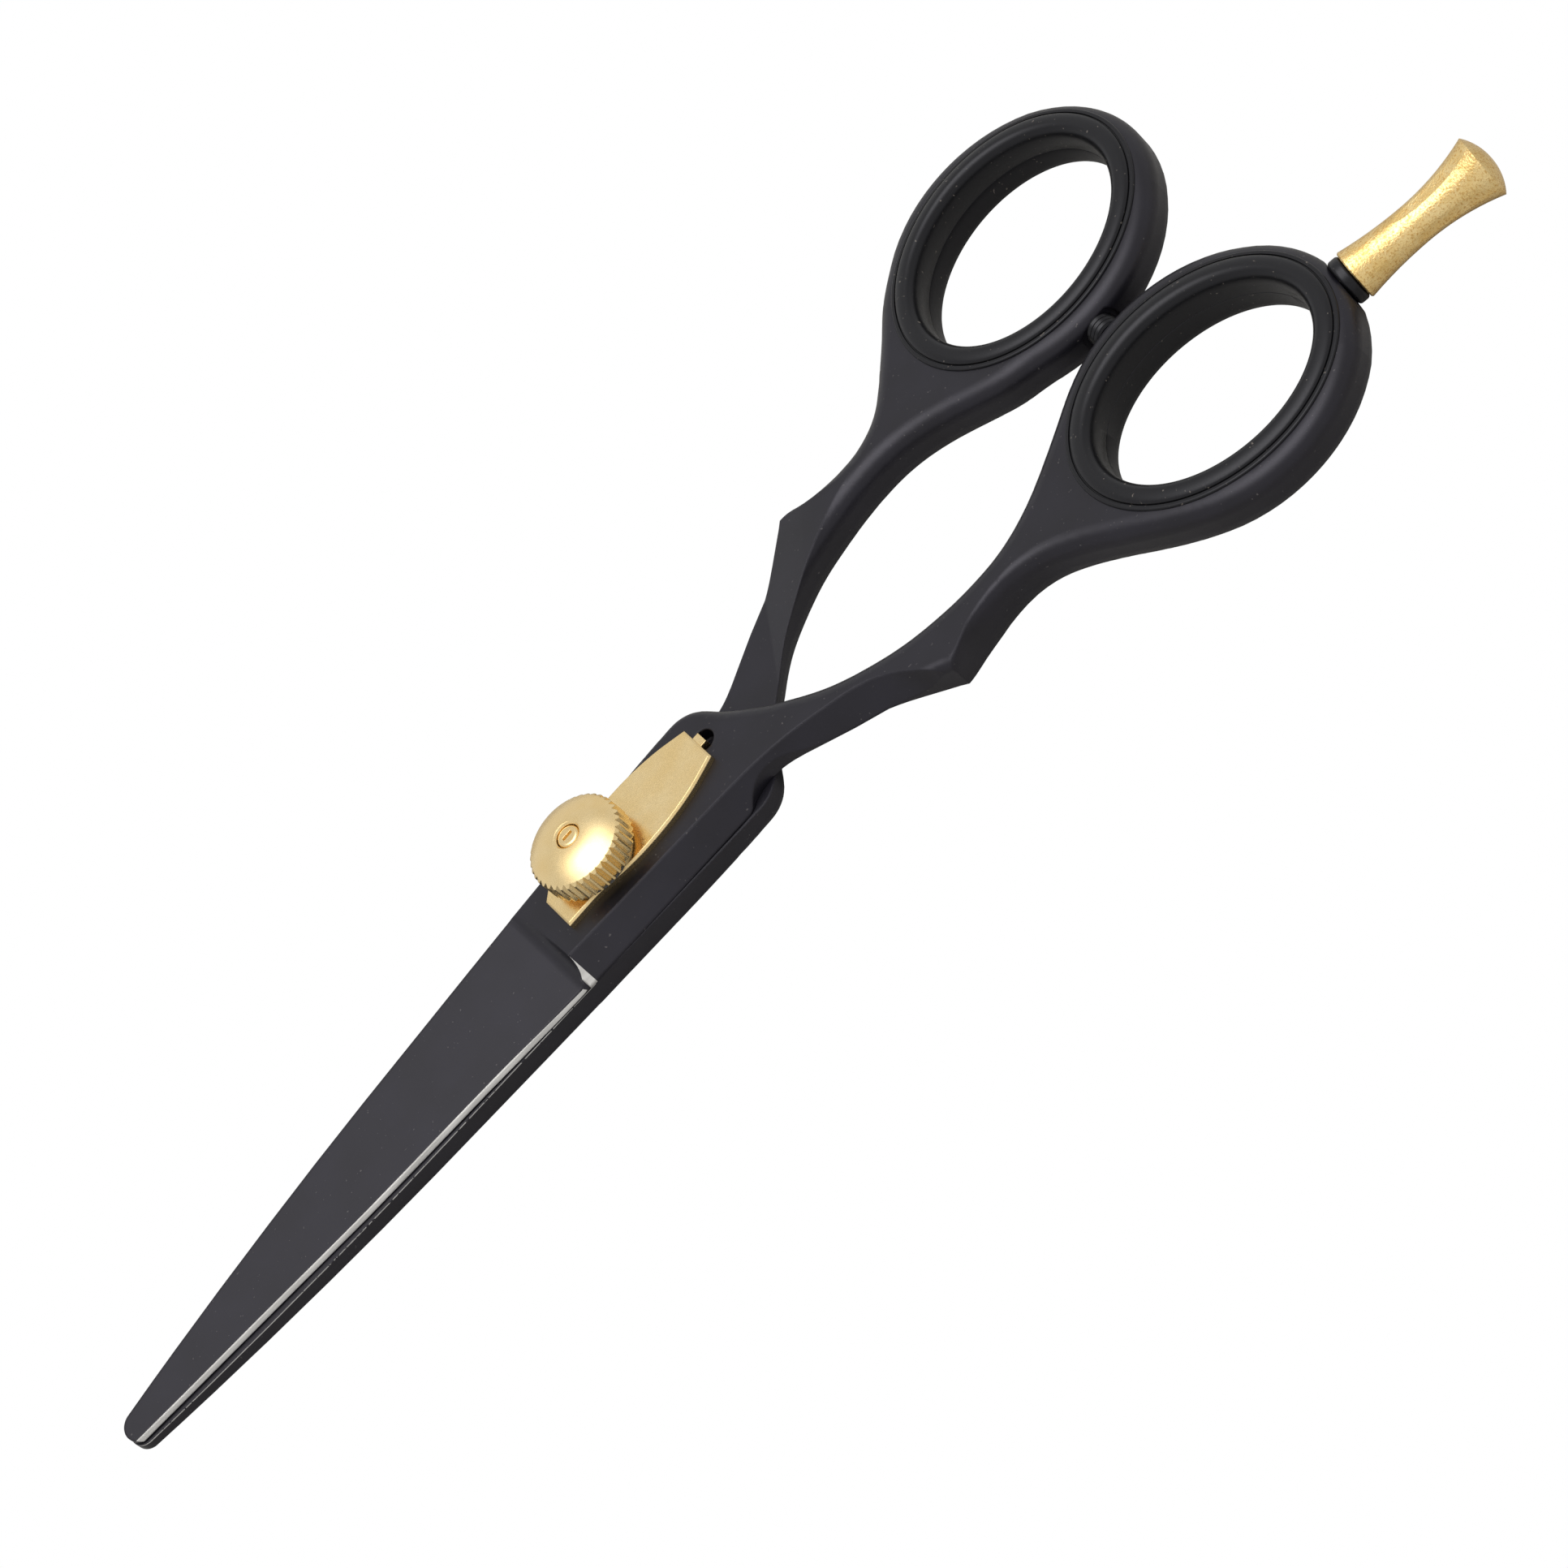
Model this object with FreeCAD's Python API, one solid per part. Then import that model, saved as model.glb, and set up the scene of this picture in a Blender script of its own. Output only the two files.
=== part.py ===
import FreeCAD, Part
import math
import os

V = FreeCAD.Vector
os.makedirs("parts", exist_ok=True)

# ---------------------------------------------------------------- frame
# Origin on the pivot axis at the outer face of the pivot screw's head.
# +X runs along the shears' centreline toward the tips, +Y toward the
# finger ring, +Z up out of the adjusting knob.  All values are in mm.
MID_Z = 3.2           # height of the plane where the two halves meet
CENTRE_Y = 1.9        # centreline of the closed shears, beside the pivot
LAP_GAP = 0.02        # each half stops this far short of the mid-plane

# ---------------------------------------------------------------- blanks
# Both halves are forged to one outline, apart from the handles' bends, and
# the rear one is turned over.  Plan points are (x, distance from the
# centreline toward the half's own ring).
HALF_T = 2.6          # from the mid-plane to the faces of handle, ring and pivot
RING_X = -73.4        # centre of the finger hole
RING_S = 16.85
RING_TILT = -17.6     # degrees, long axis of the finger hole
RIM_X, RIM_S = -73.45, 16.8
RIM_A, RIM_B = 16.6, 15.65
RIM_TILT = -31.0      # degrees, long axis of the ring's outer oval
RIM_TOP = 83.0        # where the handle leaves the oval, degrees round it
RIM_LOW = -32.5
RIM_ARCS = 3          # the oval is drawn as this many arcs

FRONT_OUTER = [(-59.85, 25.55), (-57.25, 22.7), (-54.7, 19.9), (-52.15, 17.5), (-49.7, 15.85), (-47.4, 15.05)]
FRONT_WAIST = (-45.0, 14.8)
FRONT_CREST = [(-42, 15.05), (-39.6, 15.65)]
FRONT_INNER = [(-28, 5.1), (-32, 7.45), (-36, 9.15), (-40, 10.15)]
FRONT_NECK = (-46.0, 10.7)
FRONT_THROAT = [(-50, 10.2), (-54, 8.8), (-58, 6.75), (-62, 4.45)]

REAR_OUTER = [(-59.75, 25.65), (-57.25, 22.7), (-54.7, 19.85), (-52.3, 17.3), (-49.9, 15.45), (-47.5, 14.55)]
REAR_WAIST = (-45.0, 14.3)
REAR_CREST = [(-42, 14.55), (-39.5, 15.3)]
REAR_INNER = [(-28, 5.1), (-32, 7.3), (-36, 8.85), (-40, 9.65)]
REAR_NECK = (-46.0, 10.15)
REAR_THROAT = [(-50, 9.7), (-53.8, 8.3), (-57.7, 6.1), (-61.7, 3.9)]

NOTCH_PEAK = (-37.0, 16.8)
SHANK_OUTER = [(-35, 15.25), (-31, 12.4), (-27, 10.35), (-22, 7.55), (-19, 6.2), (-16.2, 6.05), (-14.7, 6.55)]
SIDE_START = (-13.0, 7.15)
HEEL = (8.6, 6.42)
EDGE_LINE = [(20, 5.65), (30, 4.95), (40, 4.3), (50, 3.4), (60, 2.5), (67, 1.9)]
TIP_EDGE = (72.4, 1.4)
TIP_NOSE = (73.35, -0.3)
TIP_SPINE = (72.0, -1.85)
SPINE = [(64, -2.8), (56, -3.6), (50, -4.12), (40, -4.85), (30, -5.38), (20, -5.82), (10, -6.27), (0, -6.8)]
SPINE_END = (-12.5, -7.45)
CORNER = [(-15.2, -7.5), (-17.3, -6.5), (-18.9, -4.2), (-20.5, -2.1), (-22.3, -0.1)]
CROSSING = (-24.6, 2.2)

RING_ROUND = 1.9      # edge rounding of the ring and handle
NOTCH_ROUND = 1.1     # the same at the notch
CROSSING_ROUND = 0.9  # where the handles cross
SHANK_ROUND = 0.3     # and at the pivot

# the lap: below the mid-plane the blank is cut away ahead of a long ramp,
# which lies square to the handle (these values are for the centreline)
RAMP_BACK_X = -38.0
RAMP_FRONT_X = -23.4
RAMP_LEAN = -0.56     # x per unit of distance from the centreline
RAMP_RISE = 0.25      # slope where the ramp meets the lap

# bevelled side wall beside the pivot: (x, ridge at the top, foot at the lap),
# curved up to the last but one of these and flat from there on
BEVEL_STATIONS = [(-36, 15.6, 16.5), (-33, 11.7, 13.85), (-30, 9.2, 11.9), (-27, 7.9, 10.4),
                  (-24, 6.85, 8.8), (-21, 6.0, 7.6), (-18, 5.4, 7.3), (-15, 5.05, 7.25),
                  (-12, 4.85, 7.25), (9.6, 3.55, 6.4)]
BEVEL_REACH = 20.0

# blade face: one sloping plane from the spine down to the cutting edge
FACE_SLOPE = 8.5      # degrees
FACE_EDGE_Z = 0.55    # height left at the cutting edge
FACE_HEEL_X = 8.7     # where the plane starts
FACE_HEEL_ROUND = 1.9
EDGE_BEVEL = 0.38

# finger-hole inserts (half-axes of the ovals)
BORE_A, BORE_B = 13.5, 11.8
FINGER_HOLE = (12.35, 10.5)
THUMB_HOLE = (12.35, 10.9)
LIP_A, LIP_B = 15.4, 13.7
LIP_ROUND = 0.45
HOLE_ROUND = 0.55
LIP_Z = MID_Z         # lips' outer faces, from the mid-plane
SEAT_GAP = 0.02
FIT = 0.01            # clearance of pieces that don't move in each other

# ---------------------------------------------------------------- pivot
SHANK_R = 2.5
NECK_FLAT = 1.9       # half the distance across the neck's two flats
THREAD_R = 1.3
SCREW_END_Z = MID_Z + 8.2
HEAD_R = 4.5
HEAD_T = 1.6
COUNTERBORE_R = 4.6
RUN = 0.05            # radial clearance of running fits
HEAD_WASHER_T = 0.2
WASHER_R = 4.2
WASHER_HALF_T = 0.2

PLATE_Z = MID_Z + HALF_T
PLATE_T = 0.85
PLATE_LEFT = (-15.1, 2.65)
PLATE_RIGHT = (6.5, 3.55)
PLATE_SIDE = [(-12, 3.65), (-9, 4.25), (-5, 4.5), (-1, 4.18), (1, 3.8)]
PLATE_WAIST = (3.4, 3.55)
PLATE_CHAMFER = 2.3   # off the right end's rear corner
PLATE_EDGE = 0.22
TONGUE_HALF = 0.8
TONGUE_X = -15.85
TONGUE_L, TONGUE_H = 1.15, 1.4
TONGUE_DROP = 0.4     # the tongue is bent down into the keyhole
KEYHOLE_X = -15.65
KEYHOLE_Y = -0.4
KEYHOLE_R = 1.3
KEYHOLE_DEPTH = 1.6

SPRING_IN_R = 1.9
SPRING_OUT_R = 4.3
SPRING_T = 0.3

KNOB_Z = PLATE_Z + PLATE_T + 0.55
KNOB_H = 4.3
KNOB_R = 5.35
KNOB_ROOT_R = 5.0
KNOB_TEETH = 40
KNOB_DOME = 1.1
KNOB_DOME_SAG = 0.28     # drop half way down the dome, as a share of its height
KNOB_SHOULDER = 0.5
KNOB_SHOULDER_R = 4.5
KNOB_RIM = 0.3        # bevel between the teeth and the dome
KNOB_MOUTH = 0.2      # bevel round the screw's end

# ---------------------------------------------------------------- bumper, rest
BUMPER_X = -71.9
BUMPER_R = 1.7
BUMPER_TIP_Y = 2.72
BUMPER_SEAT_Y = 0.7
BUMPER_STEM_R = 0.9
BUMPER_STEM_L = 2.4
BUMPER_GROOVE = 0.12

REST_ANGLE = 168.1    # direction of the finger rest from the ring's centre
REST_SEAT = 16.1
RING_SEAL_T = 1.4
RING_SEAL_R = 2.55
SEAL_GAP = 0.02
REST_BASE = REST_SEAT + RING_SEAL_T
REST_FOOT = (0.15, 2.72)
REST_WAIST = (7.5, 2.12)
REST_RIM = (15.95, 3.5)
REST_DOME = 17.1
REST_CAP = (16.7, 2.17)  # a point half way along the end cap's curve
REST_STUD_R = 1.2
REST_STUD_L = 3.7
REST_GRIND_R = 22.5   # radius of the wheel that grinds each concave flat
REST_GRIND = (8.0, 2.05)
REST_FACETS = 4


def plan(point, z=0.0):
    """A blank plan point as a vector."""
    return V(point[0], point[1], z)


def rim_point(angle):
    """A point on the ring's outer oval, by degrees round it from its long axis."""
    t, tilt = math.radians(angle), math.radians(RIM_TILT)
    along, across = RIM_A * math.cos(t), RIM_B * math.sin(t)
    return (RIM_X + along * math.cos(tilt) - across * math.sin(tilt),
            RIM_S + along * math.sin(tilt) + across * math.cos(tilt))


def rim_clockwise(angle):
    """Direction of the ring's outer oval, travelling clockwise."""
    ahead, here = rim_point(angle - 0.01), rim_point(angle)
    return V(ahead[0] - here[0], ahead[1] - here[1], 0).normalize()


def curve(points, start=None, end=None):
    """An edge through the points, with optional end directions."""
    spline = Part.BSplineCurve()
    vectors = [plan(p) for p in points]
    if start is None and end is None:
        spline.interpolate(vectors)
    else:
        first = start or (vectors[1] - vectors[0]).normalize()
        last = end or (vectors[-1] - vectors[-2]).normalize()
        spline.interpolate(Points=vectors, InitialTangent=first, FinalTangent=last)
    return spline.toShape()


def line(a, b):
    return Part.LineSegment(plan(a), plan(b)).toShape()


def arc(a, b, c):
    return Part.Arc(plan(a), plan(b), plan(c)).toShape()


def revolve(points, axis_base, axis_dir):
    """A full turn of a closed outline of points."""
    face = Part.Face(Part.makePolygon(points + [points[0]]))
    return face.revolve(axis_base, axis_dir, 360)


def disc(radius, z, height, x=0.0, y=0.0):
    return Part.makeCylinder(radius, height, V(x, y, z))


def oval_prism(a, b, z, height):
    """An oval prism round the centre of the blank's finger hole."""
    oval = Part.Ellipse(V(0, 0, 0), a, b).toShape()
    solid = Part.Face(Part.Wire(oval)).extrude(V(0, 0, height))
    solid.rotate(V(0, 0, 0), V(0, 0, 1), RING_TILT)
    solid.translate(V(RING_X, RING_S, z))
    return solid


def blank_outline(outer, waist, crest, inner, neck, throat):
    """A blank's plan outline, as a face on the mid-plane."""
    top, low = rim_point(RIM_TOP), rim_point(RIM_LOW)
    onward, back = V(1, 0, 0), V(-1, 0, 0)
    turn = (RIM_TOP - RIM_LOW - 360) / (2 * RIM_ARCS)
    ring = [rim_point(RIM_LOW + step * turn) for step in range(2 * RIM_ARCS)] + [top]
    edges = [
        curve([top] + outer + [waist], rim_clockwise(RIM_TOP), onward),
        curve([waist] + crest + [NOTCH_PEAK], onward, V(0.97, 0.3, 0)),
        curve([NOTCH_PEAK] + SHANK_OUTER + [SIDE_START], V(0.72, -0.69, 0), V(1, -0.034, 0)),
        line(SIDE_START, HEEL),
        curve([HEEL] + EDGE_LINE + [TIP_EDGE], V(1, -0.034, 0)),
        arc(TIP_EDGE, TIP_NOSE, TIP_SPINE),
        curve([TIP_SPINE] + SPINE + [SPINE_END]),
        curve([SPINE_END] + CORNER + [CROSSING], V(-1, 0.02, 0), V(-0.73, 0.68, 0)),
        curve([CROSSING] + inner + [neck], V(-0.73, 0.68, 0), back),
        curve([neck] + throat + [low], back, rim_clockwise(RIM_LOW)),
    ]
    edges += [arc(*ring[first:first + 3]) for first in range(0, 2 * RIM_ARCS, 2)]
    return Part.Face(Part.Wire(Part.__sortEdges__(edges)))


def edge_radius(x):
    """Rounding of the long edges, which tightens from the handle to the pivot."""
    if x < NOTCH_PEAK[0] - 0.01:
        return RING_ROUND
    if x < NOTCH_PEAK[0] + 0.01:
        return NOTCH_ROUND
    if x < CROSSING[0] + 0.01:
        return CROSSING_ROUND
    return SHANK_ROUND


def rounded_edges(body):
    """Rounds the long top and bottom edges of the blank."""
    doc = FreeCAD.newDocument("blank")
    base = doc.addObject("Part::Feature", "base")
    base.Shape = body
    picks = []
    for index, edge in enumerate(body.Edges, 1):
        box = edge.BoundBox
        lengthwise = box.ZMin * box.ZMax > 1 and box.XLength > 0.05
        if lengthwise and box.XMax < SPINE_END[0] + 0.1:
            first, last = [edge.valueAt(p).x for p in edge.ParameterRange]
            picks.append((index, edge_radius(first), edge_radius(last)))
    fillet = doc.addObject("Part::Fillet", "rounded")
    fillet.Base = base
    fillet.Edges = picks
    doc.recompute()
    result = fillet.Shape.copy()
    FreeCAD.closeDocument(doc.Name)
    return result


def lap_cut():
    """Everything below the mid-plane ahead of the ramp."""
    low, ahead, wide = -6.0, 110.0, 50.0
    start = V(-RAMP_LEAN * wide, -wide, 0)
    back = V(RAMP_BACK_X, 0, -HALF_T) + start
    front = V(RAMP_FRONT_X, 0, LAP_GAP) + start
    ramp = Part.BSplineCurve()
    ramp.interpolate(Points=[back, front], InitialTangent=V(1, 0, 0), FinalTangent=V(1, 0, RAMP_RISE))
    corners = [front, V(ahead, -wide, LAP_GAP), V(ahead, -wide, low), V(back.x, -wide, low), back]
    edges = [Part.LineSegment(a, b).toShape() for a, b in zip(corners, corners[1:])]
    wire = Part.Wire(Part.__sortEdges__([ramp.toShape()] + edges))
    return Part.Face(wire).extrude(V(RAMP_LEAN, 1, 0) * (2 * wide))


def bevel_section(x, ridge, foot):
    """What the side bevel takes off at one station."""
    over = 0.6
    lean = (foot - ridge) / HALF_T
    corners = [V(x, ridge - lean * over, HALF_T + over), V(x, BEVEL_REACH, HALF_T + over),
               V(x, BEVEL_REACH, -over), V(x, foot + lean * over, -over)]
    return Part.makePolygon(corners + [corners[0]])


def side_bevel_cuts():
    """Slopes the side wall beside the pivot, from a ridge on top to the lap."""
    sections = [bevel_section(*station) for station in BEVEL_STATIONS]
    return [Part.makeLoft(sections[:-1], True), Part.makeLoft(sections[-2:], True)]


def blade_face_cut():
    """What is milled off above the sloping blade face, with a rounded heel."""
    heading = math.atan2(TIP_EDGE[1] - HEEL[1], TIP_EDGE[0] - HEEL[0])
    along = V(math.cos(heading), math.sin(heading), 0)
    slope = math.radians(FACE_SLOPE)
    across = V(0, -math.cos(slope), math.sin(slope))
    start = V(FACE_HEEL_X, HEEL[1], FACE_EDGE_Z) - across * 5
    run, rise, reach, r = 90.0, 12.0, 40.0, FACE_HEEL_ROUND

    def at(distance, height):
        return start + along * distance + V(0, 0, height)

    short = r * (1 - math.sqrt(0.5))
    edges = [Part.Arc(at(0, r), at(short, short), at(r, 0)).toShape()]
    corners = [at(r, 0), at(run, 0), at(run, rise), at(0, rise), at(0, r)]
    edges += [Part.LineSegment(a, b).toShape() for a, b in zip(corners, corners[1:])]
    wire = Part.Wire(Part.__sortEdges__(edges))
    return Part.Face(wire).extrude(across * reach)


def bevelled_edge(body):
    """Grinds the cutting bevel along the blade's outer edge."""
    picks = [e for e in body.Edges
             if e.BoundBox.XLength > 50 and e.BoundBox.YMax > 3
             and e.BoundBox.ZMin > 0.1 and e.BoundBox.ZMax < 1]
    return body.makeChamfer(EDGE_BEVEL, picks)


def blank(*handle):
    """A shaped blank, centreline on the X axis and lap on the mid-plane."""
    slab = blank_outline(*handle).extrude(V(0, 0, 2 * HALF_T))
    slab.translate(V(0, 0, -HALF_T))
    body = rounded_edges(slab)
    body = body.cut(lap_cut())
    for bevel in side_bevel_cuts():
        body = body.cut(bevel)
    body = body.cut(blade_face_cut())
    body = bevelled_edge(body)
    return body.cut(oval_prism(BORE_A, BORE_B, -4, 8))


def place(shape):
    """Moves a shape from the blank's frame to the frame of the shears."""
    shape.translate(V(0, CENTRE_Y, MID_Z))
    return shape


def turned_over(shape):
    """The rear half's version of a front-half shape, still in the blank's frame."""
    other = shape.copy()
    other.rotate(V(0, 0, 0), V(1, 0, 0), 180)
    return other


def double_d(radius, flat, z, height):
    """A round bar with two flats, on the pivot axis."""
    bar = disc(radius, z, height)
    return bar.common(Part.makeBox(4 * radius, 2 * flat, height, V(-2 * radius, -flat, z)))


def rest_place(shape):
    """Turns a shape built along +X to stand on the finger ring's rim."""
    shape.rotate(V(0, 0, 0), V(0, 0, 1), REST_ANGLE)
    shape.translate(V(RING_X, RING_S + CENTRE_Y, MID_Z))
    return shape


def rest_hole():
    """Drilling and spot-face that take the finger rest's stud and seal."""
    drill = Part.makeCylinder(REST_STUD_R + RUN, 10, V(REST_BASE - REST_STUD_L - 0.1, 0, 0), V(1, 0, 0))
    face = Part.makeCylinder(2 * RING_SEAL_R, 3, V(REST_SEAT, 0, 0), V(1, 0, 0))
    return rest_place(drill.fuse(face))


def front_half():
    body = place(blank(FRONT_OUTER, FRONT_WAIST, FRONT_CREST, FRONT_INNER, FRONT_NECK, FRONT_THROAT))
    body = body.cut(disc(WASHER_R + RUN, MID_Z - 1, 1 + WASHER_HALF_T + LAP_GAP))
    body = body.cut(double_d(SHANK_R + FIT, NECK_FLAT + FIT, MID_Z - 1, 5))
    body = body.cut(disc(KEYHOLE_R, PLATE_Z - KEYHOLE_DEPTH, 3, KEYHOLE_X, KEYHOLE_Y))
    return body.cut(rest_hole())


def rear_half():
    shape = blank(REAR_OUTER, REAR_WAIST, REAR_CREST, REAR_INNER, REAR_NECK, REAR_THROAT)
    body = place(turned_over(shape))
    body = body.cut(disc(SHANK_R + RUN, -1, 6))
    body = body.cut(disc(COUNTERBORE_R, -1, 1 + HEAD_T + HEAD_WASHER_T))
    body = body.cut(disc(WASHER_R + RUN, MID_Z - WASHER_HALF_T - LAP_GAP, 1))
    return body.cut(bumper_hole())


def bumper_hole():
    """Drilling and spot-face in the crown of the thumb ring."""
    drill = Part.makeCylinder(BUMPER_STEM_R + FIT, 10,
                              V(BUMPER_X, BUMPER_SEAT_Y - BUMPER_STEM_L - 0.1, MID_Z), V(0, 1, 0))
    face = Part.makeCylinder(BUMPER_R + 0.6, 3, V(BUMPER_X, BUMPER_SEAT_Y, MID_Z), V(0, 1, 0))
    return drill.fuse(face)


def pivot_screw():
    """Flat head, round shank, flatted neck and threaded end with a slot."""
    shoulder_z = MID_Z + WASHER_HALF_T + LAP_GAP - FIT
    neck_top = PLATE_Z - 0.1
    head = disc(HEAD_R, 0, HEAD_T)
    rim = [e for e in head.Edges if e.BoundBox.XLength > HEAD_R and e.BoundBox.ZMax < 0.01]
    head = head.makeChamfer(0.25, rim)
    shank = disc(SHANK_R, HEAD_T - 0.1, shoulder_z - HEAD_T + 0.1)
    neck = double_d(SHANK_R, NECK_FLAT, shoulder_z - 0.1, neck_top - shoulder_z + 0.1)
    thread = disc(THREAD_R, neck_top - 0.1, SCREW_END_Z - neck_top + 0.1)
    crown = [e for e in thread.Edges if e.BoundBox.ZMin > SCREW_END_Z - 0.01]
    thread = thread.makeFillet(0.4, crown)
    slot = Part.makeBox(1.2, 0.4, 1, V(-0.6, -0.2, SCREW_END_Z - 0.4))
    return head.fuse(shank).fuse(neck).fuse(thread).removeSplitter().cut(slot)


def flat_ring(inner, outer, z, height):
    """A flat washer on the pivot axis."""
    return disc(outer, z, height).cut(disc(inner, z - 1, height + 2))


def plate_outline():
    """The leaf plate's plan: blunt at the left, waisted before its square right end."""
    def mirrored(point):
        return (point[0], -point[1])

    near = [PLATE_LEFT] + PLATE_SIDE + [PLATE_WAIST]
    far = [mirrored(p) for p in near[::-1]]
    right, half = PLATE_RIGHT
    end = [PLATE_WAIST, PLATE_RIGHT, (right, PLATE_CHAMFER - half), (right - PLATE_CHAMFER, -half),
           mirrored(PLATE_WAIST)]
    lead = V(near[1][0] - near[0][0], near[1][1] - near[0][1], 0).normalize()
    back = V(-lead.x, lead.y, 0)
    edges = [curve(near, lead, V(1, 0, 0)), curve(far, V(-1, 0, 0), back),
             line(mirrored(PLATE_LEFT), PLATE_LEFT)]
    edges += [line(a, b) for a, b in zip(end, end[1:])]
    return Part.Face(Part.Wire(Part.__sortEdges__(edges)))


def leaf_plate():
    """Plate under the knob, kept from turning by a tongue in the keyhole."""
    body = plate_outline().extrude(V(0, 0, PLATE_T))
    body.translate(V(0, 0, PLATE_Z))
    top = [e for e in body.Edges if e.BoundBox.ZMin > PLATE_Z + PLATE_T - 0.01]
    body = body.makeChamfer(PLATE_EDGE, top)
    lug_z = PLATE_Z + PLATE_T - TONGUE_DROP - TONGUE_H
    lug = Part.makeBox(TONGUE_L, 2 * TONGUE_HALF, TONGUE_H, V(TONGUE_X, KEYHOLE_Y - TONGUE_HALF, lug_z))
    body = body.fuse(lug).removeSplitter()
    return body.cut(disc(THREAD_R + RUN, PLATE_Z - 2, 5))


def spring_washer():
    """Coned disc between the plate and the knob."""
    low, high = PLATE_Z + PLATE_T, KNOB_Z
    section = [V(SPRING_OUT_R, 0, low), V(SPRING_OUT_R, 0, low + SPRING_T),
               V(SPRING_IN_R, 0, high), V(SPRING_IN_R, 0, high - SPRING_T)]
    return revolve(section, V(0, 0, 0), V(0, 0, 1))


def knob_section():
    """Half the knob's turned section, before the teeth are cut."""
    side_z = KNOB_Z + KNOB_SHOULDER
    rim_z = KNOB_Z + KNOB_H - KNOB_DOME
    top_z = KNOB_Z + KNOB_H
    inner = THREAD_R + RUN
    rim = V(KNOB_R - KNOB_RIM, 0, rim_z)
    mouth = V(inner + KNOB_MOUTH, 0, top_z)
    middle = V((rim.x + mouth.x) / 2, 0, top_z - KNOB_DOME_SAG * KNOB_DOME)
    corners = [mouth, V(inner, 0, top_z - KNOB_MOUTH), V(inner, 0, KNOB_Z), V(KNOB_SHOULDER_R, 0, KNOB_Z),
               V(KNOB_SHOULDER_R, 0, side_z), V(KNOB_R, 0, side_z), V(KNOB_R, 0, rim_z - KNOB_RIM), rim]
    edges = [Part.Arc(rim, middle, mouth).toShape()]
    edges += [Part.LineSegment(a, b).toShape() for a, b in zip(corners, corners[1:])]
    return Part.Face(Part.Wire(Part.__sortEdges__(edges)))


def adjusting_knob():
    """Domed nut with V teeth all round."""
    body = knob_section().revolve(V(0, 0, 0), V(0, 0, 1), 360)
    step = 2 * math.pi / KNOB_TEETH
    crest = KNOB_R + 0.02
    points = []
    for tooth in range(KNOB_TEETH):
        for radius, turn in ((crest, -0.12), (crest, 0.12), (KNOB_ROOT_R, 0.5)):
            angle = (tooth + turn) * step
            points.append(V(radius * math.cos(angle), radius * math.sin(angle), KNOB_Z - 1))
    star = Part.Face(Part.makePolygon(points + [points[0]])).extrude(V(0, 0, KNOB_H + 3))
    return body.common(star)


def oval_insert(hole):
    """Soft insert with a lip each side, in the blank's ring."""
    lip_t = LIP_Z - HALF_T - SEAT_GAP
    body = oval_prism(BORE_A - SEAT_GAP, BORE_B - SEAT_GAP, -LIP_Z + 0.2, 2 * LIP_Z - 0.4)
    for z in (-LIP_Z, LIP_Z - lip_t):
        lip = oval_prism(LIP_A, LIP_B, z, lip_t)
        edge = [e for e in lip.Edges if abs(abs(e.BoundBox.ZMin) - LIP_Z) < 0.01
                and e.BoundBox.ZLength < 0.01]
        body = body.fuse(lip.makeFillet(LIP_ROUND, edge))
    body = body.removeSplitter().cut(oval_prism(*hole, -5, 10))
    rims = [e for e in body.Edges if abs(abs(e.BoundBox.ZMin) - LIP_Z) < 0.01
            and e.BoundBox.ZLength < 0.01 and e.BoundBox.XLength < 2 * hole[0] + 0.1]
    return body.makeFillet(HOLE_ROUND, rims)


def bumper():
    """Grooved rubber stop with a stem, on the thumb ring."""
    grooves = 3
    pitch = (BUMPER_TIP_Y - BUMPER_SEAT_Y - 0.3) / grooves
    outline = [(BUMPER_SEAT_Y - BUMPER_STEM_L, 0), (BUMPER_SEAT_Y - BUMPER_STEM_L, BUMPER_STEM_R),
               (BUMPER_SEAT_Y, BUMPER_STEM_R), (BUMPER_SEAT_Y, BUMPER_R)]
    for groove in range(grooves):
        start = BUMPER_SEAT_Y + 0.15 + groove * pitch
        outline += [(start, BUMPER_R), (start + pitch / 2, BUMPER_R - BUMPER_GROOVE),
                    (start + pitch, BUMPER_R)]
    outline += [(BUMPER_TIP_Y, BUMPER_R - 0.15), (BUMPER_TIP_Y, 0)]
    section = [V(r, y, 0) for y, r in outline]
    body = revolve(section, V(0, 0, 0), V(0, 1, 0))
    body.translate(V(BUMPER_X, 0, MID_Z))
    return body


def waist_arc(end):
    """Arc of the rest's outline from its waist to an end, level at the waist."""
    reach, rise = end[0] - REST_WAIST[0], end[1] - REST_WAIST[1]
    radius = (reach * reach + rise * rise) / (2 * rise)
    sag = radius - math.sqrt(radius * radius - reach * reach / 4)
    middle = V(REST_WAIST[0] + reach / 2, REST_WAIST[1] + sag, 0)
    return Part.Arc(V(*REST_WAIST, 0), middle, V(*end, 0)).toShape()


def rest_body():
    """Turned outline of the finger rest, along +X from its base."""
    dome = Part.Arc(V(*REST_RIM, 0), V(*REST_CAP, 0), V(REST_DOME, 0, 0))
    base = [V(REST_DOME, 0, 0), V(-REST_STUD_L, 0, 0), V(-REST_STUD_L, REST_STUD_R - 0.2, 0),
            V(-REST_STUD_L + 0.2, REST_STUD_R, 0), V(0, REST_STUD_R, 0), V(0, REST_FOOT[1] - 0.12, 0),
            V(*REST_FOOT, 0)]
    edges = [waist_arc(REST_FOOT), waist_arc(REST_RIM), dome.toShape()]
    edges += [Part.LineSegment(a, b).toShape() for a, b in zip(base, base[1:])]
    face = Part.Face(Part.Wire(Part.__sortEdges__(edges)))
    return face.revolve(V(0, 0, 0), V(1, 0, 0), 360)


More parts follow.
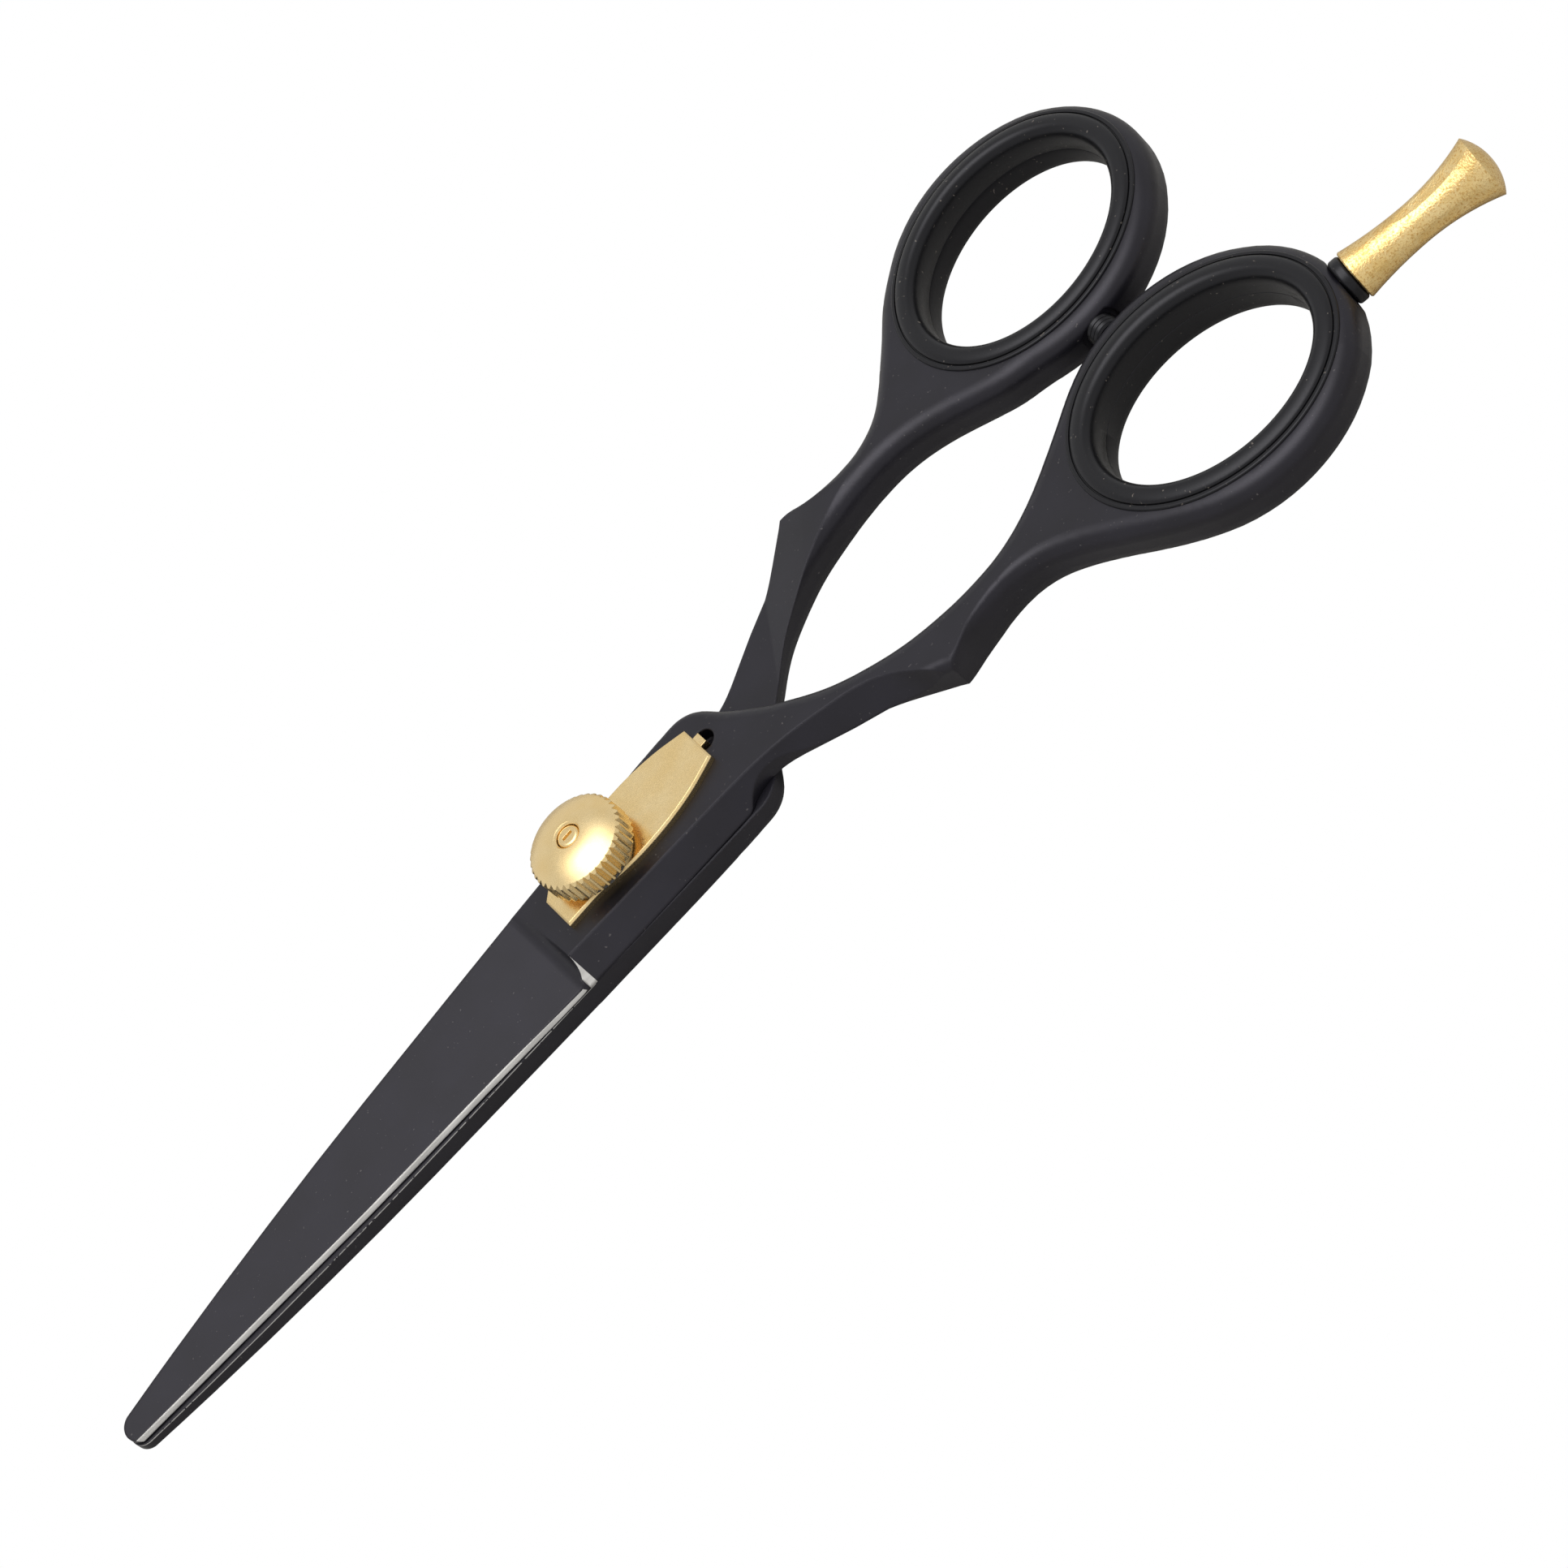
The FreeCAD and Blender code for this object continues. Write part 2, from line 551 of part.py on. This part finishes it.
def rest_facet():
    """One concave flat to grind from the rest's side, facing +Z."""
    wide = 20.0
    distance, height = REST_GRIND
    return Part.makeCylinder(REST_GRIND_R, wide, V(distance, -wide / 2, height + REST_GRIND_R), V(0, 1, 0))


def finger_rest():
    """Waisted rest with a stud, a domed head and concave flats."""
    quarter = 360 / REST_FACETS
    body = rest_body()
    body.rotate(V(0, 0, 0), V(1, 0, 0), quarter / 2)
    for number in range(REST_FACETS):
        facet = rest_facet()
        facet.rotate(V(0, 0, 0), V(1, 0, 0), number * quarter)
        body = body.cut(facet)
    body.translate(V(REST_BASE, 0, 0))
    return rest_place(body)


def finger_rest_seal():
    """Rubber ring between the finger rest and the rim."""
    ring = Part.makeCylinder(RING_SEAL_R, RING_SEAL_T - 2 * SEAL_GAP, V(REST_SEAT + SEAL_GAP, 0, 0),
                             V(1, 0, 0))
    rims = [e for e in ring.Edges if e.BoundBox.XLength < 0.01]
    ring = ring.makeFillet(0.4, rims)
    return rest_place(ring.cut(Part.makeCylinder(REST_STUD_R + RUN, 9, V(REST_SEAT - 3, 0, 0), V(1, 0, 0))))


def export_all():
    """Writes one STEP file per piece."""
    pieces = {
        "front_half": front_half(),
        "rear_half": rear_half(),
        "pivot_screw": pivot_screw(),
        "head_washer": flat_ring(SHANK_R + RUN, WASHER_R, HEAD_T, HEAD_WASHER_T),
        "pivot_washer": flat_ring(SHANK_R + RUN, WASHER_R, MID_Z - WASHER_HALF_T, 2 * WASHER_HALF_T),
        "leaf_plate": leaf_plate(),
        "spring_washer": spring_washer(),
        "adjusting_knob": adjusting_knob(),
        "finger_insert": place(oval_insert(FINGER_HOLE)),
        "thumb_insert": place(turned_over(oval_insert(THUMB_HOLE))),
        "bumper": bumper(),
        "finger_rest": finger_rest(),
        "finger_rest_seal": finger_rest_seal(),
    }
    for name, piece in pieces.items():
        piece.exportStep(f"parts/{name}.step")


export_all()
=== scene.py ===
"""Hair cutting shears: looks, ring inserts, stage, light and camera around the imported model."""
import math
from collections import namedtuple

import bpy
from mathutils import Matrix, Vector

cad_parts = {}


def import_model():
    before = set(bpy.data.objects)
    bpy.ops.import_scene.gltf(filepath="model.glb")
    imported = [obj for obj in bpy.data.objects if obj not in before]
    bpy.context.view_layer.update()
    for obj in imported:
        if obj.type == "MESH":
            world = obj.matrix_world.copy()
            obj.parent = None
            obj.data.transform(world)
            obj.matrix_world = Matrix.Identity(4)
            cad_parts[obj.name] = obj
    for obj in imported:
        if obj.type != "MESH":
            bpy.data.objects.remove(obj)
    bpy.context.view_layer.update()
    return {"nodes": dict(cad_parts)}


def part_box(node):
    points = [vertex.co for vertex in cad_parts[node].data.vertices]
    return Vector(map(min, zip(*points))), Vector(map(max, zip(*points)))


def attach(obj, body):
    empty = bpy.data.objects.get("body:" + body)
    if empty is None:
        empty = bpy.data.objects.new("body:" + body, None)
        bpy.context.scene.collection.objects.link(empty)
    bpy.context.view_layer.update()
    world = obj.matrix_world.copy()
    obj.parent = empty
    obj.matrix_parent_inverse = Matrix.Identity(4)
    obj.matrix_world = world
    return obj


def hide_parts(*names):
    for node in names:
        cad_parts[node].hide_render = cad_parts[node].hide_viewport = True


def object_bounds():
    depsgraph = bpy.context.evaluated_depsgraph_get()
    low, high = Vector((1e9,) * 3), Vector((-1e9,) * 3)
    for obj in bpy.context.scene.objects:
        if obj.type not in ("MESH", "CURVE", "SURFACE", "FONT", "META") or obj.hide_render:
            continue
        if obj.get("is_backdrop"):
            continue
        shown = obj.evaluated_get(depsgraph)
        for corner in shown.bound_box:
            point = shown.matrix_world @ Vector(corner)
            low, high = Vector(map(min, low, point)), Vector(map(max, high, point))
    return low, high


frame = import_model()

MM = 0.001
nodes = frame["nodes"]
washer_low, washer_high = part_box("pivot_washer")
MID_Z = (washer_low.z + washer_high.z) / 2      # the plane where the halves meet

# Where the blades are bare steel, and where a painted glint of bare steel runs along the spine edge.
FACE_TILT = math.radians(8.5)           # slope of the blade face
FACE_EDGE_HEIGHT = 0.55 * MM            # the face at the cutting edge, over the mid-plane
HEEL_X, HEEL_Y = 8.7 * MM, 6.42 * MM      # where the face and its cutting edge start
HEEL_ROUND = 1.9 * MM       # radius of the curve that leads down to the face
HEEL_SLIVER = 0.15 * MM     # how far the ground strip climbs over the heel's curve
GROUND_LIMIT = 0.985        # cosine of the widest angle off the ground bevel that counts as bare
LAP_START = 9 * MM          # where the painted glint along the blades' bare spine edge starts
LAP_GLINT = 0.15 * MM       # height of the painted glint of bare steel along each half's spine edge, next to the lap
LAP_SIDE = 0.3              # how far sideways a face has to look to count as the spine's side
LAP_GLINT_NOISE = 0.40             # noise level over which the spine's edge shows the painted glint, broken into jagged patches
LAP_SHARE = 0.7             # how much of the glinting steel shows there

# The coating.
COAT_GRAIN = 0.10 * MM
COAT_ROUGHNESS = (0.33, 0.41)
COAT_EDGE = 0.35 * MM       # apparent rounding of coated edges
BARE_ROUGHNESS = 0.36

# The rings and the section of their inserts. Pairs are the distance out from the hole and
# the height over the mid-plane, in mm.
RING_TILT = math.radians(-17.6)   # long axis of the finger hole
FINGER_HOLE, THUMB_HOLE = 10.5 * MM, 10.9 * MM      # half the holes' short axes
INSERT_WALL = 3.05          # from the hole to the insert's outer edge
PARTING_LINE = [(0.05, 0), (0, 0.06)]
BORE_TOP = 1.75             # where the bore starts to round over into the lip
LIP_CREST = (1.15, 3.30)
LIP_FOOT = (2.45, 2.80)
GROOVE = [(2.46, 2.70), (2.54, 2.70)]
EDGE_TOP, EDGE_ROUND = 2.84, 0.20
EDGE_START = 2.60
CHANNEL = (0.90, 2.63)      # inner corner of the channel that grips the ring
SHARP_ANGLE = math.radians(40)

# Stage, light and camera.
FLOOR_SIZE = 3.0
FLOOR_GAP = 0.05 * MM
SKY = 3.8                   # brightness of the tent straight overhead
# Height up the tent, and the share of that brightness there.
SKY_STOPS = [(0, 0.20), (0.45, 0.20), (0.74, 0.16), (0.88, 0.32), (0.96, 1), (1, 1)]
CAMERA_AT = Vector((-0.027779, 0.438045, 0.409513 + MID_Z))
CAMERA_TILT = math.radians(46.30)       # away from looking straight down
CAMERA_HEADING = math.radians(-178.665)
CAMERA_ROLL = math.radians(-49.5593)
SENSOR_WIDTH = 36.0         # mm, as the lens
CAMERA_LENS = 139.7516


# ---------------------------------------------------------------- shader helpers
Axes = namedtuple("Axes", "x y z")


class Shader:
    """A node material with short calls for adding and wiring nodes."""

    def __init__(self, name):
        self.material = bpy.data.materials.new(name)
        self.material.use_nodes = True
        self.tree = self.material.node_tree
        self.surface = self.tree.nodes["Principled BSDF"]
        self.position = self.add("ShaderNodeTexCoord").outputs["Object"]

    def add(self, kind, inputs=None, **settings):
        """A new node with its settings and inputs, which are values or other nodes' outputs."""
        node = self.tree.nodes.new(kind)
        for key, value in settings.items():
            setattr(node, key, value)
        for key, value in (inputs or {}).items():
            self.feed(node.inputs[key], value)
        return node

    def feed(self, socket, value):
        if isinstance(value, bpy.types.NodeSocket):
            self.tree.links.new(value, socket)
        else:
            socket.default_value = value

    def set(self, **values):
        """Sets the surface's inputs, with underscores for the spaces in their names."""
        for key, value in values.items():
            self.feed(self.surface.inputs[key.replace("_", " ")], value)

    def math(self, operation, a, b=0.0):
        return self.add("ShaderNodeMath", {0: a, 1: b}, operation=operation).outputs[0]

    def above(self, value, limit):
        return self.math("GREATER_THAN", value, limit)

    def below(self, value, limit):
        return self.math("LESS_THAN", value, limit)

    def both(self, a, b):
        return self.math("MULTIPLY", a, b)

    def parts(self, vector):
        """A vector's x, y and z."""
        outputs = self.add("ShaderNodeSeparateXYZ", {"Vector": vector}).outputs
        return Axes(outputs["X"], outputs["Y"], outputs["Z"])

    def face_normal(self):
        """The unsmoothed normal in the piece's own axes, so that it turns with the piece."""
        flat = self.add("ShaderNodeNewGeometry").outputs["True Normal"]
        turned = self.add("ShaderNodeVectorTransform", {"Vector": flat}, vector_type="NORMAL",
                          convert_from="WORLD", convert_to="OBJECT")
        return turned.outputs[0]

    def noise(self, size, detail=2.0, roughness=0.5, stretch=(1, 1, 1)):
        """Noise whose features are about `size` metres across."""
        scale = [share / size for share in stretch]
        scaled = self.add("ShaderNodeMapping", {"Vector": self.position, "Scale": scale})
        settings = {"Vector": scaled.outputs[0], "Scale": 1.0, "Detail": detail, "Roughness": roughness}
        return self.add("ShaderNodeTexNoise", settings).outputs["Fac"]

    def ramp(self, factor, low, high, start=0.35, stop=0.65):
        """Maps a factor between start and stop to the range from low to high."""
        settings = {"Value": factor, "From Min": start, "From Max": stop, "To Min": low, "To Max": high}
        return self.add("ShaderNodeMapRange", settings).outputs[0]

    def blend(self, kind, factor, a, b):
        node = self.add("ShaderNodeMix", data_type=kind)
        self.feed(node.inputs["Factor"], factor)
        self.feed(node.inputs["A"], a)
        self.feed(node.inputs["B"], b)
        return node.outputs["Result"]

    def mix(self, factor, a, b):
        """Mixes two colours."""
        return self.blend("RGBA", factor, a, b)

    def mix_value(self, factor, a, b):
        return self.blend("FLOAT", factor, a, b)

    def soft_edges(self, radius):
        """Normals rounded over sharp edges, as coating and polishing leave them."""
        return self.add("ShaderNodeBevel", {"Radius": radius}, samples=4).outputs[0]

    def bump(self, height, distance, strength, normal=None):
        node = self.add("ShaderNodeBump", {"Height": height, "Distance": distance, "Strength": strength})
        if normal is not None:
            self.feed(node.inputs["Normal"], normal)
        return node.outputs["Normal"]


def rgb(r, g, b):
    """A linear colour from 0-255 sRGB values."""
    def linear(c):
        c /= 255
        return c / 12.92 if c <= 0.04045 else ((c + 0.055) / 1.055) ** 2.4
    return (linear(r), linear(g), linear(b), 1.0)


# ---------------------------------------------------------------- materials
def coated(s):
    """Matte black coating with a fine grain; returns its colour and roughness."""
    grain = s.noise(COAT_GRAIN, 3)
    cloud = s.noise(5 * MM, 4)
    specks = s.ramp(s.noise(0.35 * MM, 1), 0, 0.5, 0.74, 0.80)
    s.set(Specular_IOR_Level=0.42, Specular_Tint=(0.93, 0.90, 1.0, 1))
    s.set(Normal=s.bump(grain, 0.006 * MM, 0.5, s.soft_edges(COAT_EDGE)))
    colour = s.mix(s.ramp(cloud, 0, 1), rgb(12, 11, 15), rgb(18, 17, 23))
    return s.mix(specks, colour, rgb(96, 92, 90)), s.ramp(grain, *COAT_ROUGHNESS)


def above_face(s, x, y, height):
    """How far a point lies above the sloping blade face and its rounded heel."""
    inside = s.math("SUBTRACT", HEEL_X + HEEL_ROUND, x)
    inside = s.math("MINIMUM", s.math("MAXIMUM", inside, 0), HEEL_ROUND)
    chord = s.math("SQRT", s.math("SUBTRACT", HEEL_ROUND ** 2, s.math("MULTIPLY", inside, inside)))
    curve = s.math("SUBTRACT", HEEL_ROUND, chord)
    slope = s.math("MULTIPLY", s.math("SUBTRACT", HEEL_Y, y), math.tan(FACE_TILT))
    plane = s.math("ADD", s.math("ADD", slope, FACE_EDGE_HEIGHT), curve)
    return s.math("SUBTRACT", height, plane)


def ground_edge(s, place, height, side):
    """1 on the bevel along the cutting edge, which looks half way between the face and the edge's side."""
    outward = Vector((0, 1 + math.sin(FACE_TILT), math.cos(FACE_TILT))).normalized() * side
    product = s.add("ShaderNodeVectorMath", {0: s.face_normal(), 1: outward}, operation="DOT_PRODUCT")
    on_bevel = s.above(product.outputs["Value"], GROUND_LIMIT)
    y = s.math("MULTIPLY", place.y, side)
    near_face = s.below(above_face(s, place.x, y, height), HEEL_SLIVER)
    return s.both(on_bevel, s.both(s.above(place.x, HEEL_X), near_face))


def spine_glint(s, place, height, side):
    """Painted glint along the spine's lower edge: noise patches of light, metallic bare steel in place of
    the edge's chamfer catching the light.
    """
    sideways = s.math("MULTIPLY", s.parts(s.face_normal()).y, -side)
    low_side = s.both(s.below(height, LAP_GLINT), s.above(sideways, LAP_SIDE))
    # noise breaks the painted glint into jagged patches, as the lit edge looks
    glint_patches = s.above(s.noise(0.5 * MM, 3), LAP_GLINT_NOISE)
    return s.both(low_side, s.both(s.above(place.x, LAP_START), glint_patches))


def black_half(name, side):
    """A blade half: bare ground steel at the cutting edge, a painted glint of bare steel along the spine
    edge, coating elsewhere.

    `side` is +1 for the front half and -1 for the rear one, which is turned over.
    """
    s = Shader(name)
    colour, roughness = coated(s)
    place = s.parts(s.position)
    height = s.math("MULTIPLY", s.math("SUBTRACT", place.z, MID_Z), side)
    # painted glint: light bare steel along the spine edge, at LAP_SHARE strength
    spine = s.math("MULTIPLY", spine_glint(s, place, height, side), LAP_SHARE)
    bare = s.math("MAXIMUM", ground_edge(s, place, height, side), spine)
    streaks = s.noise(0.6 * MM, 3, stretch=(0.1, 1, 1))
    steel_colour = s.mix(s.ramp(streaks, 0, 1), rgb(186, 184, 180), rgb(206, 204, 200))
    s.set(Base_Color=s.mix(bare, colour, steel_colour), Metallic=bare)
    s.set(Roughness=s.mix_value(bare, roughness, BARE_ROUGHNESS))
    return s.material


def rubber():
    s = Shader("rubber")
    fine = s.noise(0.15 * MM, 3)
    specks = s.ramp(s.noise(0.45 * MM, 1), 0, 0.6, 0.73, 0.79)
    s.set(Base_Color=s.mix(specks, rgb(12, 12, 14), rgb(120, 112, 104)))
    s.set(Specular_IOR_Level=0.32, Specular_Tint=(0.95, 0.94, 1.0, 1))
    s.set(Roughness=s.ramp(fine, 0.28, 0.36), Normal=s.bump(fine, 0.004 * MM, 0.5))
    return s.material


def gold():
    """Smooth gold plating."""
    s = Shader("gold")
    fine = s.noise(0.1 * MM, 3)
    cloud = s.noise(3 * MM, 3)
    colour = s.mix(s.ramp(cloud, 0, 1), rgb(246, 220, 166), rgb(242, 212, 152))
    s.set(Base_Color=colour, Metallic=1.0, Roughness=s.ramp(fine, 0.22, 0.32))
    s.set(Normal=s.bump(fine, 0.003 * MM, 0.5, s.soft_edges(0.12 * MM)))
    return s.material


def cast_gold():
    """Duller gold plating over a cast, pitted surface."""
    s = Shader("cast_gold")
    grain = s.noise(0.22 * MM, 4)
    cloud = s.noise(2 * MM, 3)
    pits = s.ramp(grain, 0, 0.7, 0.50, 0.66)
    colour = s.mix(s.ramp(cloud, 0, 1), rgb(250, 222, 160), rgb(240, 205, 134))
    colour = s.mix(pits, colour, rgb(196, 146, 72))
    s.set(Base_Color=colour, Metallic=1.0, Roughness=s.ramp(grain, 0.24, 0.42))
    s.set(Normal=s.bump(grain, 0.05 * MM, 1.0, s.soft_edges(0.10 * MM)))
    return s.material


def nylon():
    s = Shader("nylon")
    s.set(Base_Color=rgb(214, 212, 204), Roughness=s.ramp(s.noise(0.3 * MM), 0.4, 0.5))
    return s.material


def steel():
    s = Shader("steel")
    s.set(Base_Color=rgb(200, 198, 192), Metallic=1.0, Roughness=s.ramp(s.noise(0.2 * MM), 0.25, 0.35))
    return s.material


def assign(material, *names):
    for name in names:
        slots = nodes[name].data.materials
        slots.clear()
        slots.append(material)


rubber_finish = rubber()
assign(black_half("black_half_front", 1), "front_half")
assign(black_half("black_half_rear", -1), "rear_half")
assign(rubber_finish, "finger_insert", "thumb_insert", "bumper", "finger_rest_seal")
assign(gold(), "pivot_screw", "leaf_plate", "adjusting_knob")
assign(cast_gold(), "finger_rest")
assign(nylon(), "head_washer", "pivot_washer")
assign(steel(), "spring_washer")


# ---------------------------------------------------------------- ring inserts
def quarter(centre, half_width, half_height, start, stop, steps=10):
    """Points along a quarter of an ellipse; angles in degrees from the first axis."""
    angles = [math.radians(start + (stop - start) * i / steps) for i in range(steps + 1)]
    return [(centre[0] + half_width * math.cos(t), centre[1] + half_height * math.sin(t)) for t in angles]


def insert_outline():
    """The section through an insert, in mm: bore, lip, groove and edge, then the same turned over."""
    crest, top = LIP_CREST
    foot, foot_height = LIP_FOOT
    upper = list(PARTING_LINE)
    upper += quarter((crest, BORE_TOP), crest, top - BORE_TOP, 180, 90)
    upper += quarter((crest, foot_height), foot - crest, top - foot_height, 90, 0)[1:]
    upper += GROOVE + [(EDGE_START, EDGE_TOP)]
    upper += quarter((INSERT_WALL - EDGE_ROUND, EDGE_TOP - EDGE_ROUND), EDGE_ROUND, EDGE_ROUND, 90, 0, 4)
    upper.append(CHANNEL)
    return upper + [(out, -height) for out, height in reversed(upper[1:])]


def oval_axes(half, tilt):
    """Half axes of a tilted oval, from half the size of the upright box around it."""
    total = half.x ** 2 + half.y ** 2
    spread = (half.x ** 2 - half.y ** 2) / math.cos(2 * tilt)
    return math.sqrt((total + spread) / 2), math.sqrt((total - spread) / 2)


def insert_points(name, hole, outline, turns):
    """The outline swept round the insert's oval."""
    low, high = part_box(name)
    centre = (low + high) / 2
    tilt = RING_TILT if centre.y > 0 else -RING_TILT
    outer_a, outer_b = oval_axes((high - low) / 2, tilt)
    points = []
    for i in range(turns):
        angle = math.tau * i / turns
        for out, height in outline:
            share = 1 - out / INSERT_WALL
            x = (outer_a - INSERT_WALL * MM * share) * math.cos(angle)
            y = (outer_b - (outer_b - hole) * share) * math.sin(angle)
            points.append((centre.x + x * math.cos(tilt) - y * math.sin(tilt),
                           centre.y + x * math.sin(tilt) + y * math.cos(tilt),
                           MID_Z + height * MM))
    return points


def ring_faces(turns, count):
    """Four-sided faces between neighbouring copies of a closed outline, all looking outward."""
    faces = []
    for i in range(turns):
        here, there = i * count, (i + 1) % turns * count
        for j in range(count):
            after = (j + 1) % count
            faces.append((here + j, here + after, there + after, there + j))
    return faces


def insert(name, body, hole):
    """A soft insert with a rounded lip on both faces, in place of the plain CAD one."""
    outline = insert_outline()
    turns = 180
    mesh = bpy.data.meshes.new(name + "_lipped")
    mesh.from_pydata(insert_points(name, hole, outline, turns), [], ring_faces(turns, len(outline)))
    mesh.shade_smooth()
    mesh.set_sharp_from_angle(angle=SHARP_ANGLE)
    mesh.materials.append(rubber_finish)
    obj = bpy.data.objects.new(name + "_lipped", mesh)
    bpy.context.collection.objects.link(obj)
    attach(obj, body)
    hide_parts(name)


insert("finger_insert", "finger_side", FINGER_HOLE)
insert("thumb_insert", "thumb_side", THUMB_HOLE)


# ---------------------------------------------------------------- stage
def floor():
    """Pure white to the camera; a mid grey bounce card to everything else."""
    mesh = bpy.data.meshes.new("floor")
    corners = [(x * FLOOR_SIZE, y * FLOOR_SIZE, 0) for x, y in ((-1, -1), (1, -1), (1, 1), (-1, 1))]
    mesh.from_pydata(corners, [], [(0, 1, 2, 3)])
    obj = bpy.data.objects.new("floor", mesh)
    obj.location.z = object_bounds()[0].z - FLOOR_GAP
    bpy.context.collection.objects.link(obj)
    s = Shader("floor")
    seen = s.add("ShaderNodeLightPath").outputs["Is Camera Ray"]
    s.set(Base_Color=s.mix(seen, rgb(176, 174, 170), rgb(0, 0, 0)), Roughness=1.0, Specular_IOR_Level=0.0)
    s.set(Emission_Color=(1, 1, 1, 1), Emission_Strength=seen)
    mesh.materials.append(s.material)
    obj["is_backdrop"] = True


def world():
    """A white tent: brightest overhead, dimmer toward the horizon."""
    tent = bpy.data.worlds.new("studio")
    tent.use_nodes = True
    links, shaders = tent.node_tree.links, tent.node_tree.nodes
    direction = shaders.new("ShaderNodeTexCoord").outputs["Generated"]
    height = shaders.new("ShaderNodeSeparateXYZ")
    links.new(direction, height.inputs[0])
    ramp = shaders.new("ShaderNodeValToRGB")
    while len(ramp.color_ramp.elements) < len(SKY_STOPS):
        ramp.color_ramp.elements.new(0.5)
    for element, (position, level) in zip(ramp.color_ramp.elements, SKY_STOPS):
        element.position = position
        element.color = (level, level, level, 1)
    links.new(height.outputs["Z"], ramp.inputs[0])
    background = shaders["Background"]
    links.new(ramp.outputs[0], background.inputs["Color"])
    background.inputs["Strength"].default_value = SKY
    bpy.context.scene.world = tent


def camera():
    """Looks down from the finger-ring side, with the tips at lower left."""
    turn = Matrix.Rotation(CAMERA_HEADING, 4, "Z") @ Matrix.Rotation(CAMERA_TILT, 4, "X")
    data = bpy.data.cameras.new("camera")
    data.sensor_width = SENSOR_WIDTH
    data.lens = CAMERA_LENS
    data.clip_start, data.clip_end = 0.01, 10
    obj = bpy.data.objects.new("camera", data)
    obj.matrix_world = Matrix.Translation(CAMERA_AT) @ turn @ Matrix.Rotation(CAMERA_ROLL, 4, "Z")
    bpy.context.collection.objects.link(obj)
    bpy.context.scene.camera = obj


floor()
world()
camera()
bpy.context.scene.view_settings.view_transform = "Standard"
